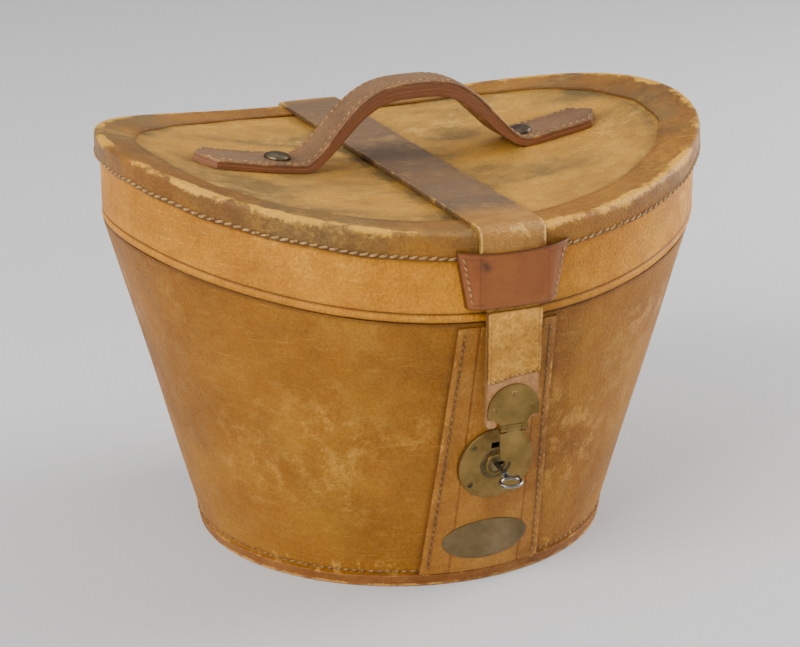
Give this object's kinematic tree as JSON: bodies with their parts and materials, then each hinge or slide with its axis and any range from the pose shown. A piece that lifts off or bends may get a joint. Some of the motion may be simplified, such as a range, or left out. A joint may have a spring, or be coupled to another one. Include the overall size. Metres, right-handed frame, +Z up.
{
  "type": "leather hat box",
  "caption": "Oval leather top-hat box with a saddle-shaped rim, hinged lid, strap handle, hanging hasp and round lock with key.",
  "frame": {"origin": "middle of the foot, on the surface the box stands on", "axes": "+Z up, -Y towards the front with the lock, +X across the box to the right of someone facing the lock"},
  "size_m": [0.3452, 0.3019, 0.258],
  "materials": {
    "body_leather": "worn tan hide, satin, mottled",
    "lid_leather": "worn tan hide with a grey-brown patina",
    "binding_leather": "grey-brown, worn to yellow along the edge",
    "foot_leather": "reddish brown, satin",
    "stay_leather": "worn tan hide, stitched",
    "strap_leather": "grey-brown, smooth",
    "keeper_leather": "reddish brown, polished",
    "tongue_leather": "rough flesh side, suede-like",
    "tongue_backing_leather": "pinkish, smooth",
    "handle_leather": "grey-brown, stitched along both edges",
    "handle_core_leather": "burnished layered edge, orange-red",
    "board": "matt pasteboard",
    "lining_cloth": "faded glazed cotton",
    "collar_leather": "pale smooth hide",
    "brass": "dull olive brass, scratched",
    "dark_brass": "dark tarnished brass",
    "lock_iron": "dull iron",
    "stud_metal": "dark bronzed dome, rubbed bright",
    "key_steel": "bright steel, handled"
  },
  "bodies": {
    "bucket": {"body_board": "board", "body_leather": "body_leather", "bottom_board": "board", "bottom_leather": "foot_leather", "foot_binding": "foot_leather", "wall_lining": "lining_cloth", "floor_lining": "lining_cloth", "collar": "collar_leather", "front_stay": "stay_leather", "name_plate": "brass", "lock_plate": "brass", "lock_nails": "dark_brass", "lock_case": "lock_iron", "hinge_leaf": "strap_leather"},
    "lid": {"lid_board": "board", "lid_leather": "body_leather", "lid_top_board": "board", "lid_top_leather": "lid_leather", "rim_binding": "binding_leather", "lid_lining": "lining_cloth", "lid_strap": "strap_leather", "keeper": "keeper_leather", "handle_core": "handle_core_leather", "handle_top": "handle_leather", "handle_under": "handle_core_leather", "stud_left": "stud_metal", "stud_right": "stud_metal", "washer_left": "lock_iron", "washer_right": "lock_iron"},
    "tongue": {"tongue": "tongue_leather", "tongue_backing": "tongue_backing_leather", "hasp_plate": "brass", "hasp_rivets": "dark_brass", "knuckle_pin": "dark_brass"},
    "hasp": {"hasp_flap": "brass"},
    "barrel": {"key_barrel": "dark_brass"},
    "key": {"key_pin": "key_steel", "key_bow": "key_steel"},
    "bolt": {"lock_bolt": "lock_iron"}
  },
  "joints": [
    {"name": "lid_hinge", "type": "hinge", "parent": "bucket", "child": "lid", "pos_m": [0, 0.1437, 0.16175], "axis": [-1, 0, 0], "range_deg": [0, 110]},
    {"name": "tongue_swing", "type": "hinge", "parent": "lid", "child": "tongue", "pos_m": [0, -0.1483, 0.1694], "axis": [-1, 0, 0], "range_deg": [-10, 90]},
    {"name": "hasp_swing", "type": "hinge", "parent": "tongue", "child": "hasp", "pos_m": [0, -0.1489, 0.1038], "axis": [-1, 0, 0], "range_deg": [0, 90]},
    {"name": "key_turn", "type": "hinge", "parent": "bucket", "child": "barrel", "pos_m": [0, -0.1267, 0.07621], "axis": [0, -0.9833, -0.1819], "range_deg": [0, 90]},
    {"name": "key_withdraw", "type": "slide", "parent": "barrel", "child": "key", "axis": [0, -0.9833, -0.1819], "range_m": [0, 0.03]},
    {"name": "bolt_slide", "type": "slide", "parent": "bucket", "child": "bolt", "axis": [0, -0.1819, 0.9833], "range_m": [0, 0.0034]}
  ],
  "couplings": [
    {"joint": "bolt_slide", "follows": "key_turn", "m_per_rad": 0.0021645}
  ]
}
